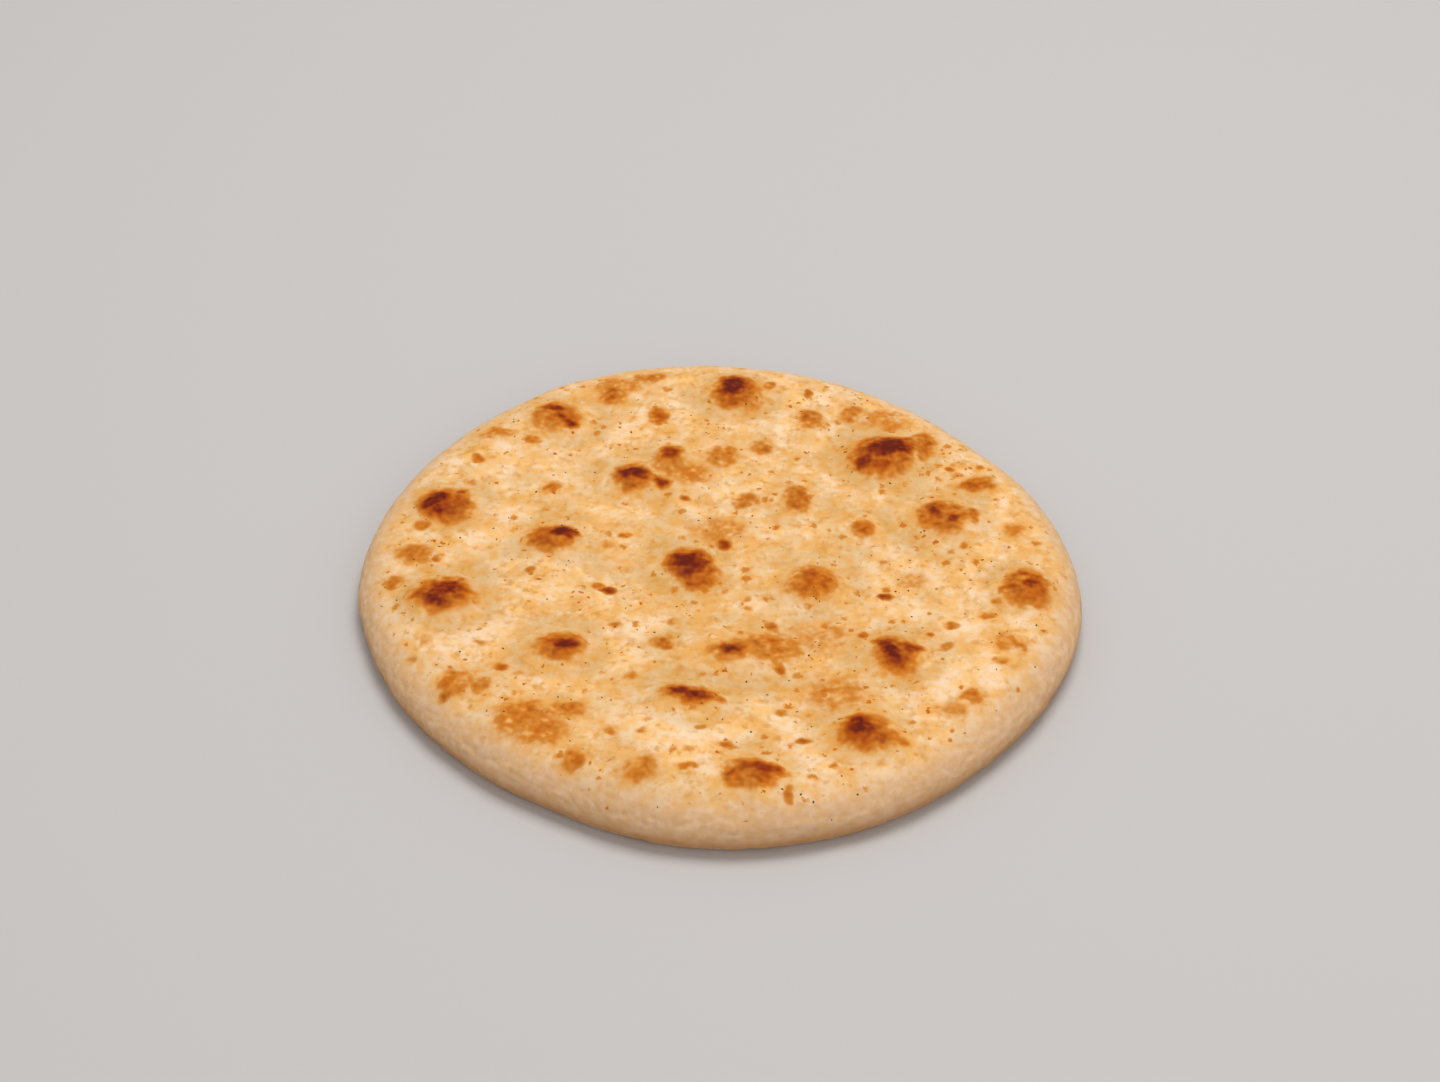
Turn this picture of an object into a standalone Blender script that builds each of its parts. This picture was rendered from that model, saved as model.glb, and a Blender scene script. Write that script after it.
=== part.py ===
"""A thick round tandoori roti, blistered on top by the heat of the oven.

The bread is one solid: a round of leavened dough with a soft, pillowed edge, a flat underside
and an uneven top. It lies flat on the XY plane, with +Z up and the origin under its middle.
"""

import math

import bmesh
import bpy
from mathutils import Vector, noise

MM = 0.001

# Driving sizes of the round.
MEAN_RADIUS = 97.1 * MM
THICKNESS = 14.6 * MM
WIDEST_HEIGHT = 5.0 * MM
SHOULDER_REACH = 12.5 * MM
HEEL_REACH = 4.0 * MM

# The outline is hand-shaped: (waves round the edge, depth, where a wave crests, in degrees).
OUTLINE_WAVES = (
    (2, 2.2 * MM, -32.0),
    (3, 0.3 * MM, 7.0),
    (4, 1.1 * MM, 4.0),
    (5, 0.2 * MM, -13.0),
    (9, 0.15 * MM, 20.0),
)

# Blisters of thin crust, each (x, y, radius, height, width over depth), the tallest first.
BLISTERS = (
    (46.5 * MM, 47.5 * MM, 12.0 * MM, 3.2 * MM, 1.05),
    (-75.0 * MM, -14.0 * MM, 11.5 * MM, 2.6 * MM, 1.12),
    (5.0 * MM, 77.0 * MM, 10.8 * MM, 2.5 * MM, 1.08),
    (47.0 * MM, -36.5 * MM, 10.2 * MM, 2.4 * MM, 1.00),
    (-8.5 * MM, -0.5 * MM, 10.6 * MM, 2.4 * MM, 1.00),
    (61.5 * MM, 19.0 * MM, 12.0 * MM, 2.2 * MM, 1.08),
    (-77.0 * MM, 26.0 * MM, 10.4 * MM, 2.2 * MM, 1.05),
    (-8.0 * MM, -53.0 * MM, 9.4 * MM, 2.2 * MM, 1.35),
    (-42.5 * MM, -33.5 * MM, 10.0 * MM, 2.1 * MM, 1.08),
    (25.0 * MM, -8.0 * MM, 11.6 * MM, 2.1 * MM, 1.05),
    (-44.5 * MM, 11.0 * MM, 9.4 * MM, 2.0 * MM, 1.12),
    (38.0 * MM, -66.5 * MM, 10.6 * MM, 1.9 * MM, 1.12),
    (-24.5 * MM, 37.5 * MM, 9.2 * MM, 1.9 * MM, 1.00),
    (4.0 * MM, -35.5 * MM, 15.0 * MM, 1.8 * MM, 1.35),
    (83.5 * MM, -9.5 * MM, 9.4 * MM, 1.7 * MM, 1.10),
    (-46.0 * MM, 65.0 * MM, 11.0 * MM, 1.7 * MM, 1.10),
    (9.0 * MM, -83.0 * MM, 9.8 * MM, 1.5 * MM, 1.20),
    (22.0 * MM, 28.0 * MM, 7.5 * MM, 1.3 * MM, 0.90),
    (-13.0 * MM, 48.0 * MM, 7.0 * MM, 1.2 * MM, 0.90),
    (40.0 * MM, 16.0 * MM, 6.5 * MM, 1.1 * MM, 1.00),
    (-31.0 * MM, 75.5 * MM, 6.2 * MM, 1.1 * MM, 1.10),
    (59.0 * MM, 53.5 * MM, 6.0 * MM, 1.0 * MM, 1.00),
    (-47.0 * MM, 33.5 * MM, 5.5 * MM, 0.9 * MM, 1.00),
    (-71.0 * MM, -47.5 * MM, 7.5 * MM, 0.9 * MM, 1.00),
    (-20.0 * MM, -81.0 * MM, 7.0 * MM, 0.9 * MM, 1.20),
    (73.0 * MM, 35.0 * MM, 6.0 * MM, 0.9 * MM, 1.20),
)

# Broad swells and hollows between the blisters, each (x, y, radius, height).
SWELLS = (
    (-16.0 * MM, -70.0 * MM, 25.0 * MM, 1.4 * MM),
    (72.0 * MM, -44.0 * MM, 25.0 * MM, 1.3 * MM),
    (22.0 * MM, 60.0 * MM, 14.0 * MM, 1.2 * MM),
    (-46.0 * MM, -9.0 * MM, 18.0 * MM, 0.9 * MM),
    (-26.0 * MM, -19.0 * MM, 16.0 * MM, 0.9 * MM),
    (-46.0 * MM, -60.0 * MM, 20.0 * MM, 0.9 * MM),
    (-60.0 * MM, 45.0 * MM, 16.0 * MM, 0.7 * MM),
    (22.0 * MM, -52.0 * MM, 16.0 * MM, -0.9 * MM),
    (36.0 * MM, 0.0 * MM, 16.0 * MM, -0.8 * MM),
    (-62.0 * MM, 3.0 * MM, 14.0 * MM, -0.9 * MM),
    (-16.0 * MM, 20.0 * MM, 18.0 * MM, -0.8 * MM),
    (8.0 * MM, 12.0 * MM, 16.0 * MM, -0.6 * MM),
    (-24.0 * MM, -62.0 * MM, 14.0 * MM, -0.7 * MM),
)

# Dough is never even: its lumps as (width of a lump, height), and how far they bend a blister.
TOP_LUMPS = ((34.0 * MM, 0.7 * MM), (13.0 * MM, 0.35 * MM))
WALL_LUMPS = ((30.0 * MM, 0.7 * MM), (11.0 * MM, 0.3 * MM))
BEND_WIDTH, BEND_REACH = 11.0 * MM, 1.6 * MM
MOAT_DEPTH = 0.10
DOME_POWER = 1.2
SETTLED_MIDDLE = 0.6 * MM

# How finely the faces are laid: ring k of the top has 6 * k points.
TOP_RINGS = 36
HEEL_RINGS = 3
POINTS_PER_RING = 6

CRUST_COLOUR = (0.80, 0.49, 0.22, 1.0)
CRUST_ROUGHNESS = 0.72


def outline_radius(angle):
    """The distance from the middle to the widest line of the edge, in a direction."""
    radius = MEAN_RADIUS
    for waves, depth, crest in OUTLINE_WAVES:
        radius += depth * math.cos(waves * (angle - math.radians(crest)))
    return radius


def lumps(place, sizes):
    """The sum of soft noise of several widths, at a place."""
    return sum(height * noise.noise(place / width) for width, height in sizes)


def dome(share):
    """1 in the middle of a mound, round at its crown, 0 at its foot and beyond."""
    return max(0.0, 1.0 - share * share) ** DOME_POWER


def moat(share):
    """The slack ring just outside a blister, 1 where it is deepest."""
    return math.exp(-(((share - 1.2) / 0.22) ** 2))


def top_relief(x, y):
    """How far the top stands above its even level at (x, y)."""
    place = Vector((x, y, 0.0))
    level = lumps(place, TOP_LUMPS)
    for swell_x, swell_y, radius, height in SWELLS:
        level += height * dome(math.hypot(x - swell_x, y - swell_y) / radius)
    bent_x = x + BEND_REACH * noise.noise(place / BEND_WIDTH + Vector((0.0, 0.0, 5.0)))
    bent_y = y + BEND_REACH * noise.noise(place / BEND_WIDTH + Vector((0.0, 0.0, 9.0)))
    for blister_x, blister_y, radius, height, stretch in BLISTERS:
        across = (bent_x - blister_x) / math.sqrt(stretch)
        along = (bent_y - blister_y) * math.sqrt(stretch)
        share = math.hypot(across, along) / radius
        level += height * (dome(share) - MOAT_DEPTH * moat(share))
    middle = math.hypot(x, y) / (MEAN_RADIUS - SHOULDER_REACH)
    return level - SETTLED_MIDDLE * dome(middle)


def top_point(share, angle):
    """A point of the top: share runs from 0 in the middle to 1 on the widest line."""
    radius = outline_radius(angle)
    flat_run = radius - SHOULDER_REACH
    shoulder_height = THICKNESS - WIDEST_HEIGHT
    shoulder_arc = 0.5 * math.pi * math.sqrt((SHOULDER_REACH**2 + shoulder_height**2) / 2.0)
    along = share * (flat_run + shoulder_arc)
    turn = 0.5 * math.pi * max(0.0, along - flat_run) / shoulder_arc
    reach = min(along, flat_run) + SHOULDER_REACH * math.sin(turn)
    height = WIDEST_HEIGHT + shoulder_height * math.cos(turn)
    outward = Vector((math.cos(angle), math.sin(angle), 0.0))
    point = outward * reach + Vector((0.0, 0.0, height))
    normal = (outward * math.sin(turn) + Vector((0.0, 0.0, 1.0)) * math.cos(turn)).normalized()
    raised = top_relief(point.x, point.y) * math.cos(turn) + lumps(point, WALL_LUMPS) * math.sin(turn)
    return point + normal * raised


def heel_point(share, angle):
    """A point of the rounded bottom edge: share runs from 0 on the widest line to 1 on the base."""
    turn = 0.5 * math.pi * share
    radius = outline_radius(angle)
    outward = Vector((math.cos(angle), math.sin(angle), 0.0))
    widest = outward * radius + Vector((0.0, 0.0, WIDEST_HEIGHT))
    bulge = lumps(widest, WALL_LUMPS) * (1.0 - share)
    reach = radius + bulge - HEEL_REACH * (1.0 - math.cos(turn))
    height = WIDEST_HEIGHT * (1.0 - math.sin(turn))
    return outward * reach + Vector((0.0, 0.0, height))


def add_ring(bm, count, point_at):
    """A ring of count corners, where point_at gives the place for an angle."""
    return [bm.verts.new(point_at(2.0 * math.pi * step / count)) for step in range(count)]


def join_growing_rings(bm, inner, outer):
    """Fills the band between a ring of 6 * (k - 1) points and the next, of 6 * k."""
    sectors = POINTS_PER_RING
    inner_run, outer_run = len(inner) // sectors, len(outer) // sectors
    for sector in range(sectors):
        for step in range(outer_run):
            first = outer[sector * outer_run + step]
            second = outer[(sector * outer_run + step + 1) % len(outer)]
            near = inner[(sector * inner_run + step) % len(inner)]
            bm.faces.new((first, second, near))
            if step < inner_run:
                following = inner[(sector * inner_run + step + 1) % len(inner)]
                bm.faces.new((near, second, following))


def join_equal_rings(bm, upper, lower):
    """Fills the band between two rings of as many points, the second one lower."""
    count = len(upper)
    for step in range(count):
        after = (step + 1) % count
        bm.faces.new((upper[step], lower[step], lower[after]))
        bm.faces.new((upper[step], lower[after], upper[after]))


def build_bread_mesh():
    """The whole skin of the bread: the top, the rounded heel and the flat base."""
    bm = bmesh.new()
    middle = bm.verts.new(top_point(0.0, 0.0))
    ring = add_ring(bm, POINTS_PER_RING, lambda angle: top_point(1.0 / TOP_RINGS, angle))
    for step in range(POINTS_PER_RING):
        bm.faces.new((ring[step], ring[(step + 1) % POINTS_PER_RING], middle))
    for index in range(2, TOP_RINGS + 1):
        share = index / TOP_RINGS
        wider = add_ring(bm, POINTS_PER_RING * index, lambda angle: top_point(share, angle))
        join_growing_rings(bm, ring, wider)
        ring = wider
    for index in range(1, HEEL_RINGS + 1):
        share = index / HEEL_RINGS
        lower = add_ring(bm, len(ring), lambda angle: heel_point(share, angle))
        join_equal_rings(bm, ring, lower)
        ring = lower
    bm.faces.new(list(reversed(ring)))
    mesh = bpy.data.meshes.new("roti")
    bm.to_mesh(mesh)
    bm.free()
    return mesh


def centre_over_origin(mesh):
    """Slides the mesh so that the middle of its width and depth lies on the Z axis."""
    across = [vertex.co.x for vertex in mesh.vertices]
    along = [vertex.co.y for vertex in mesh.vertices]
    middle = Vector(((min(across) + max(across)) / 2.0, (min(along) + max(along)) / 2.0, 0.0))
    for vertex in mesh.vertices:
        vertex.co -= middle


def crust_material():
    """Pale baked dough."""
    material = bpy.data.materials.new("baked_dough")
    material.use_nodes = True
    shader = material.node_tree.nodes["Principled BSDF"]
    shader.inputs["Base Color"].default_value = CRUST_COLOUR
    shader.inputs["Roughness"].default_value = CRUST_ROUGHNESS
    shader.inputs["Metallic"].default_value = 0.0
    return material


def main():
    for thing in list(bpy.data.objects):
        bpy.data.objects.remove(thing, do_unlink=True)
    mesh = build_bread_mesh()
    centre_over_origin(mesh)
    mesh.materials.append(crust_material())
    mesh.shade_smooth()
    bread = bpy.data.objects.new("roti", mesh)
    bpy.context.scene.collection.objects.link(bread)


main()
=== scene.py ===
# %% [markdown]
# A tandoori roti is a round of leavened dough, slapped onto the hot wall of a clay oven. The
# trapped air lifts thin blisters out of its top, and their crowns scorch first. This lesson
# dresses a plain solid of that bread: a finer skin, small relief, toasted crust, bran and light.
# The solid is loaded first and is never changed, because every later piece is fitted to it.

# %% Load the solid of the bread
import math

import bmesh
import bpy
import numpy as np
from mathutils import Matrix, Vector, noise
from mathutils.bvhtree import BVHTree


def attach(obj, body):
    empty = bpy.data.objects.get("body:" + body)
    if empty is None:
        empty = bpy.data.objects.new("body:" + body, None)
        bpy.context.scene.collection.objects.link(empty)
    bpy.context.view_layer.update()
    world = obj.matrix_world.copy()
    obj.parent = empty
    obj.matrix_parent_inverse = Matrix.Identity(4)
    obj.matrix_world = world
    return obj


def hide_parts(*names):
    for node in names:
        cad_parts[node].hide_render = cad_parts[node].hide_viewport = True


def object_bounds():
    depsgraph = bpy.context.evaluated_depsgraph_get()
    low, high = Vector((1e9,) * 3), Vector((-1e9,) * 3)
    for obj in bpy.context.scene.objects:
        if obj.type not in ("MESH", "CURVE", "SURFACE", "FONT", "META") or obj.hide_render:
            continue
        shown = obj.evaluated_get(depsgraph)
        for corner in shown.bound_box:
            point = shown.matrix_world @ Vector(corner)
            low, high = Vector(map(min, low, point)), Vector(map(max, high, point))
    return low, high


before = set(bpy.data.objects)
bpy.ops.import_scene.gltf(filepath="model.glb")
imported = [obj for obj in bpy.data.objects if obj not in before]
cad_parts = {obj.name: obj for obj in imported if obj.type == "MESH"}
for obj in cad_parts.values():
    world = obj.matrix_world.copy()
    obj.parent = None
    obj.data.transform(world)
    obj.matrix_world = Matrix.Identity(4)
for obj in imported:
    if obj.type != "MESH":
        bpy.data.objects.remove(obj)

MM = 0.001
solid_low, solid_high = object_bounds()
print("the solid measures", [round(side / MM, 1) for side in solid_high - solid_low], "mm")

# %% [markdown]
# The bread is seen from above its near edge, as by somebody who is about to eat it. A long lens
# from about a metre away keeps the round from looking stretched. The camera's place is worked
# out from an angle and a distance, so that both can be changed without turning it by hand.

# %% Camera
LENS_MM = 85.0
SENSOR_MM = 36.0
PICTURE_WIDTH, PICTURE_HEIGHT = 1440, 1082
VIEW_ANGLE = math.radians(41.5)
VIEW_DISTANCE = 939.0 * MM
AIMED_POINT = Vector((0.0, -1.0 * MM, 0.0))
POINT_IN_PICTURE = (719.0, 608.0)


def add_camera():
    """A camera that shows the aimed point at its place in the picture."""
    focal = LENS_MM / SENSOR_MM * PICTURE_WIDTH
    aside = math.atan((POINT_IN_PICTURE[0] - PICTURE_WIDTH / 2.0) / focal)
    below = math.atan((POINT_IN_PICTURE[1] - PICTURE_HEIGHT / 2.0) / focal)
    data = bpy.data.cameras.new("camera")
    data.lens = LENS_MM
    data.sensor_width = SENSOR_MM
    camera = bpy.data.objects.new("camera", data)
    back = Vector((0.0, -math.cos(VIEW_ANGLE), math.sin(VIEW_ANGLE)))
    camera.location = AIMED_POINT + back * VIEW_DISTANCE
    camera.rotation_euler = (math.radians(90.0) - VIEW_ANGLE + below, 0.0, aside)
    bpy.context.scene.collection.objects.link(camera)
    bpy.context.scene.camera = camera
    return camera


camera = add_camera()
print("the camera stands", [round(value, 3) for value in camera.location], "m away")

# %% [markdown]
# Crust is judged by its colour, so the light has to be plain. One broad soft lamp stands above
# and a little behind the bread, so that the top is bright and every blister gets a soft dark
# side towards the viewer. A wider, weaker lamp in front keeps the near edge from going dull, and
# a pale sky fills the shadows. The standard view transform shows colours as they are, where a
# filmic one would grey the cream.

# %% Floor and light
FLOOR_GREY = (0.57, 0.545, 0.53, 1.0)
FLOOR_ROUGHNESS = 0.9
FLOOR_HALF = 3.0
KEY_DIRECTION = Vector((0.12, 0.22, 1.0))
KEY_DISTANCE = 1.4
KEY_SIZE = 0.75
KEY_POWER = 11.0
FILL_DIRECTION = Vector((0.25, -1.0, 0.75))
FILL_DISTANCE = 1.8
FILL_SIZE = 1.4
FILL_POWER = 5.6
SKY_COLOUR = (1.0, 1.0, 1.0, 1.0)
SKY_STRENGTH = 0.47


def plain_material(name, colour, roughness):
    """A material of one colour."""
    material = bpy.data.materials.new(name)
    material.use_nodes = True
    shader = material.node_tree.nodes["Principled BSDF"]
    shader.inputs["Base Color"].default_value = colour
    shader.inputs["Roughness"].default_value = roughness
    return material


def add_floor():
    """A wide level plane under the bread."""
    mesh = bpy.data.meshes.new("floor")
    corners = [(-FLOOR_HALF, -FLOOR_HALF, 0.0), (FLOOR_HALF, -FLOOR_HALF, 0.0)]
    corners += [(FLOOR_HALF, FLOOR_HALF, 0.0), (-FLOOR_HALF, FLOOR_HALF, 0.0)]
    mesh.from_pydata(corners, [], [(0, 1, 2, 3)])
    floor = bpy.data.objects.new("floor", mesh)
    bpy.context.scene.collection.objects.link(floor)
    floor.data.materials.append(plain_material("floor_paint", FLOOR_GREY, FLOOR_ROUGHNESS))


def add_soft_lamp(name, direction, distance, size, power):
    """A square lamp that faces the bread."""
    data = bpy.data.lights.new(name, "AREA")
    data.size = size
    data.energy = power
    lamp = bpy.data.objects.new(name, data)
    lamp.location = direction.normalized() * distance
    lamp.rotation_euler = direction.to_track_quat("Z", "Y").to_euler()
    bpy.context.scene.collection.objects.link(lamp)


def set_sky(colour, strength):
    """An even sky all round."""
    world = bpy.data.worlds.new("sky")
    world.use_nodes = True
    background = world.node_tree.nodes["Background"]
    background.inputs["Color"].default_value = colour
    background.inputs["Strength"].default_value = strength
    bpy.context.scene.world = world


add_floor()
add_soft_lamp("key", KEY_DIRECTION, KEY_DISTANCE, KEY_SIZE, KEY_POWER)
add_soft_lamp("fill", FILL_DIRECTION, FILL_DISTANCE, FILL_SIZE, FILL_POWER)
set_sky(SKY_COLOUR, SKY_STRENGTH)
bpy.context.scene.view_settings.view_transform = "Standard"
print("the key lamp has", KEY_POWER, "W, the fill lamp", FILL_POWER, "W, the sky", SKY_STRENGTH)

# %% [markdown]
# The solid has facets about three millimetres wide, too coarse for the fine skin of baked dough.
# Subdividing it would keep the facets' edges. Here a much finer net of rings is laid over it
# instead, as cloth over a mould: each point of the net is shot at the solid and stays where it
# lands. Rings are even all the way out, and the hidden underside gets a coarser net.

# %% Shoot the net at the solid
THICKNESS = 14.6 * MM
WIDEST_HEIGHT = 5.0 * MM
SHOULDER_REACH = 12.5 * MM
HEEL_REACH = 4.0 * MM
START_OUTSIDE = 12.0 * MM
BEYOND_EDGE = 1.3
MERGE_DISTANCE = 0.001 * MM
UNDER_SHARE = 0.995
EDGE_STEPS = 720
TOP_RINGS = 146
HEEL_RINGS = 8
UNDER_RINGS = TOP_RINGS // 2


def solid_to_hit(node):
    """The CAD mesh as a target for rays. It is loose triangles, so a copy is merged first."""
    bm = bmesh.new()
    bm.from_mesh(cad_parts[node].data)
    bmesh.ops.remove_doubles(bm, verts=bm.verts, dist=MERGE_DISTANCE)
    target = BVHTree.FromBMesh(bm)
    bm.free()
    return target


solid = solid_to_hit("roti")


def edge_radius(angle):
    """How far out the solid reaches at its widest height."""
    outward = Vector((math.cos(angle), math.sin(angle), 0.0))
    start = outward * (solid_high.x * BEYOND_EDGE) + Vector((0.0, 0.0, WIDEST_HEIGHT))
    return math.hypot(*solid.ray_cast(start, -outward)[0].xy)


edge = [edge_radius(2.0 * math.pi * step / EDGE_STEPS) for step in range(EDGE_STEPS)]


def guide_point(reach_in, rise, turn, angle):
    """A point of the even guide shape and its outward direction; turn is 0 on top, 90 degrees
    on the widest line and 180 underneath."""
    place = angle / (2.0 * math.pi) * EDGE_STEPS
    first = int(place) % EDGE_STEPS
    radius = edge[first] + (place - int(place)) * (edge[(first + 1) % EDGE_STEPS] - edge[first])
    around = Vector((math.cos(angle), math.sin(angle), 0.0))
    outward = around * math.sin(turn) + Vector((0.0, 0.0, math.cos(turn)))
    return around * (radius - reach_in) + Vector((0.0, 0.0, rise)), outward


def land(point, outward):
    """Where a shot from outside, through a guide point, hits the solid."""
    hit = solid.ray_cast(point + outward * START_OUTSIDE, -outward)[0]
    return hit if hit else point


def top_place(share, angle):
    """A point of the skin's top: share is 0 in the middle, 1 on the widest line."""
    radius = guide_point(0.0, 0.0, 0.0, angle)[0].length
    height = THICKNESS - WIDEST_HEIGHT
    arc = 0.5 * math.pi * math.sqrt((SHOULDER_REACH**2 + height**2) / 2.0)
    along = share * (radius - SHOULDER_REACH + arc)
    turn = 0.5 * math.pi * max(0.0, along - (radius - SHOULDER_REACH)) / arc
    reach_in = radius - along if turn == 0.0 else SHOULDER_REACH * (1.0 - math.sin(turn))
    return land(*guide_point(reach_in, WIDEST_HEIGHT + height * math.cos(turn), turn, angle))


def heel_place(share, angle):
    """A point of the rounded bottom edge: share is 0 on the widest line, 1 on the base."""
    turn = 0.5 * math.pi * share
    reach_in = HEEL_REACH * (1.0 - math.cos(turn))
    rise = WIDEST_HEIGHT * (1.0 - math.sin(turn))
    return land(*guide_point(reach_in, rise, 0.5 * math.pi + turn, angle))


def under_place(share, angle):
    """A point of the flat underside: share is 1 at the heel, 0 in the middle."""
    point, _ = guide_point(HEEL_REACH, 0.0, math.pi, angle)
    return point * (share * UNDER_SHARE)


print("the edge is", round(min(edge) / MM, 1), "to", round(max(edge) / MM, 1), "mm out")

# %% [markdown]
# Ring number k holds 6 k points, so all triangles come out nearly the same size. Where the fine
# net of the top meets the coarser one underneath, one band drops every second point.

# %% Weave the rings into one closed skin
SECTORS = 6
SMOOTHING_ROUNDS, SMOOTHING_FACTOR = 14, 0.5


def ring_of(bm, count, place_at):
    """A ring of count points."""
    return [bm.verts.new(place_at(2.0 * math.pi * step / count)) for step in range(count)]


def weave(bm, inner, outer, facing_up):
    """Fills between a ring of 6 (k - 1) points and one of 6 k points."""
    inner_run, outer_run = len(inner) // SECTORS, len(outer) // SECTORS
    for sector in range(SECTORS):
        for step in range(outer_run):
            first = outer[sector * outer_run + step]
            second = outer[(sector * outer_run + step + 1) % len(outer)]
            near = inner[(sector * inner_run + step) % len(inner)]
            faces = [(first, second, near)]
            if step < inner_run:
                faces.append((near, second, inner[(sector * inner_run + step + 1) % len(inner)]))
            for corners in faces:
                bm.faces.new(corners if facing_up else corners[::-1])


def weave_equal(bm, upper, lower):
    """Fills between two rings of as many points."""
    for step in range(len(upper)):
        after = (step + 1) % len(upper)
        bm.faces.new((upper[step], lower[step], lower[after], upper[after]))


def weave_half(bm, fine, coarse):
    """Fills between a ring and one of half as many points."""
    for step in range(len(coarse)):
        left, middle, right = (fine[(2 * step + more) % len(fine)] for more in range(3))
        here, after = coarse[step], coarse[(step + 1) % len(coarse)]
        bm.faces.new((left, here, middle))
        bm.faces.new((middle, here, after))
        bm.faces.new((middle, after, right))


def disc(bm, rings, place, facing_up):
    """A disc of rings round a middle point; returns its outermost ring."""
    middle = bm.verts.new(place(0.0, 0.0))
    ring = ring_of(bm, SECTORS, lambda angle: place(1.0 / rings, angle))
    for step in range(SECTORS):
        corners = (ring[step], ring[(step + 1) % SECTORS], middle)
        bm.faces.new(corners if facing_up else corners[::-1])
    for index in range(2, rings + 1):
        wider = ring_of(bm, SECTORS * index, lambda angle: place(index / rings, angle))
        weave(bm, ring, wider, facing_up)
        ring = wider
    return ring


def make_skin():
    """The closed skin over the whole bread, smoothed until no facet of the solid shows."""
    bm = bmesh.new()
    ring = disc(bm, TOP_RINGS, top_place, True)
    for index in range(1, HEEL_RINGS + 1):
        lower = ring_of(bm, len(ring), lambda angle: heel_place(index / HEEL_RINGS, angle))
        weave_equal(bm, ring, lower)
        ring = lower
    weave_half(bm, ring, disc(bm, UNDER_RINGS, under_place, False))
    for _ in range(SMOOTHING_ROUNDS):
        bmesh.ops.smooth_vert(bm, verts=bm.verts, factor=SMOOTHING_FACTOR,
                              use_axis_x=True, use_axis_y=True, use_axis_z=True)
    mesh = bpy.data.meshes.new("roti_skin")
    bm.to_mesh(mesh)
    bm.free()
    mesh.shade_smooth()
    return mesh


skin = bpy.data.objects.new("roti_skin", make_skin())
bpy.context.scene.collection.objects.link(skin)
print("the skin has", len(skin.data.vertices), "points and", len(skin.data.polygons), "faces")

# %% [markdown]
# Where the dough met hot air it toasted in spots. An image would tie them to one picture size, so
# each spot is a place, a size and a depth of toast instead. All of them are added up into one
# number per point of the skin, which the material turns into colour later. The blisters get two
# kinds of spot: a wide patch of amber, and the char where the thin crown scorched.

# %% Places of the amber patches
# Each is (x, y, radius, depth of toast, width over depth), in millimetres.
AMBER = (
    (46.5, 46.5, 9.4, 0.60, 1.05),
    (5, 75.5, 8.0, 0.58, 1.05),
    (-76, 25, 8.2, 0.60, 1.05),
    (-75, -13, 8.6, 0.60, 1.15),
    (-6, -4, 6.2, 0.54, 0.95),
    (47, -37, 7.4, 0.56, 0.78),
    (38, -67, 7.8, 0.50, 1.25),
    (-42, -33.5, 6.6, 0.50, 1.2),
    (-8, -53.5, 5.6, 0.54, 1.6),
    (62.5, 19.5, 7.8, 0.45, 1.0),
    (-46, 11, 6.6, 0.45, 1.1),
    (-24.5, 37.5, 6.2, 0.50, 0.95),
    (25, -7.5, 7.4, 0.43, 1.0),
    (84, -9.5, 7.8, 0.48, 0.9),
    (8, -82, 7.3, 0.50, 1.2),
    (-46.5, 65, 7.4, 0.38, 1.15),
    (-51, -61, 7.6, 0.22, 1.2),
    (-46, -66, 6.2, 0.24, 1.35),
    (-40, -58, 4.6, 0.22, 1.5),
    (-70, -47, 5.4, 0.25, 0.9),
    (-20, -80.5, 5.0, 0.22, 1.35),
    (-31, 75.5, 4.6, 0.36, 1.0),
    (-21, 84, 4.4, 0.32, 1.5),
    (-14, 45, 6.4, 0.22, 0.8),
    (0, 47, 5.2, 0.26, 1.1),
    (-7, 40, 5.0, 0.20, 1.3),
    (0, 16, 7.0, 0.12, 1.5),
    (31, -51, 8.0, 0.13, 1.2),
    (27, -29, 8.0, 0.11, 1.2),
    (48, 64, 6.0, 0.15, 1.4),
    (-30, 80, 6.5, 0.14, 1.6),
    (22, 28, 5.0, 0.40, 0.65),
    (72.5, 35, 4.4, 0.32, 1.4),
    (3, -35, 5.6, 0.36, 1.3),
    (14, -33, 7.6, 0.27, 1.2),
    (-14.5, -30.5, 3.6, 0.34, 1.1),
    (66, -53, 3.4, 0.27, 1.2),
    (60, -58, 4.2, 0.15, 1.8),
    (77, -32, 4.6, 0.15, 1.2),
    (53, -5.5, 3.6, 0.12, 1.1),
    (12, 51.5, 3.8, 0.30, 1.0),
    (26, 64, 4.4, 0.34, 1.0),
    (38, 67, 4.0, 0.28, 1.1),
    (39.5, 16.5, 3.8, 0.34, 0.9),
    (7, 28, 3.6, 0.36, 1.1),
    (82, 15, 3.6, 0.18, 1.0),
    (-64, 58, 4.2, 0.20, 1.6),
    (-17.5, 66, 3.4, 0.42, 0.85),
    (-84, 5, 5.2, 0.26, 1.3),
    (-88, -6, 3.6, 0.36, 1.1),
    (58.5, 53, 4.6, 0.36, 0.6),
    (-38, -76, 3.6, 0.28, 0.9),
    (-63, -48, 3.6, 0.24, 0.8),
)

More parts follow.
